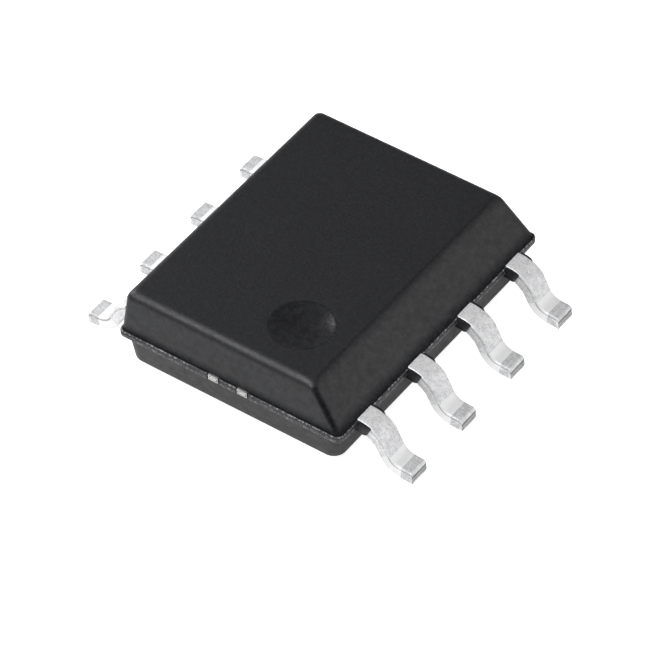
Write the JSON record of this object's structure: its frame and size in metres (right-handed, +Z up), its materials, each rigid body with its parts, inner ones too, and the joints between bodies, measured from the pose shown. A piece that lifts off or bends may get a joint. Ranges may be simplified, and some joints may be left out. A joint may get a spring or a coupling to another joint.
{
  "type": "small-outline integrated circuit",
  "caption": "Small surface-mount integrated circuit: black moulded body, one sloped long side, dished mark by the first lead, and gull-wing leads along both long sides.",
  "frame": {"origin": "on the seating plane, under the middle of the body", "axes": "+Z up from the board; X across the body, +X towards the sloped long side with leads 1 to 4; Y along the body, lead 1 nearest -Y"},
  "size_m": [0.0058, 0.0052, 0.0014],
  "materials": {
    "resin": "black epoxy moulding compound, finely eroded surface",
    "tin": "matt tin plating on stamped copper alloy",
    "leadframe": "silver-plated copper alloy sheet, bright where its tie bars were cut",
    "glue": "cured silver-filled die attach",
    "silicon": "polished silicon",
    "gold": "drawn gold wire"
  },
  "bodies": {
    "root": {"mould_body": "resin", "die_pad": "leadframe", "die_glue": "glue", "die": "silicon", "lead_1": "tin", "lead_2": "tin", "lead_3": "tin", "lead_4": "tin", "lead_5": "tin", "lead_6": "tin", "lead_7": "tin", "lead_8": "tin", "bond_wire_1": "gold", "bond_wire_2": "gold", "bond_wire_3": "gold", "bond_wire_4": "gold", "bond_wire_5": "gold", "bond_wire_6": "gold", "bond_wire_7": "gold", "bond_wire_8": "gold"}
  },
  "joints": []
}
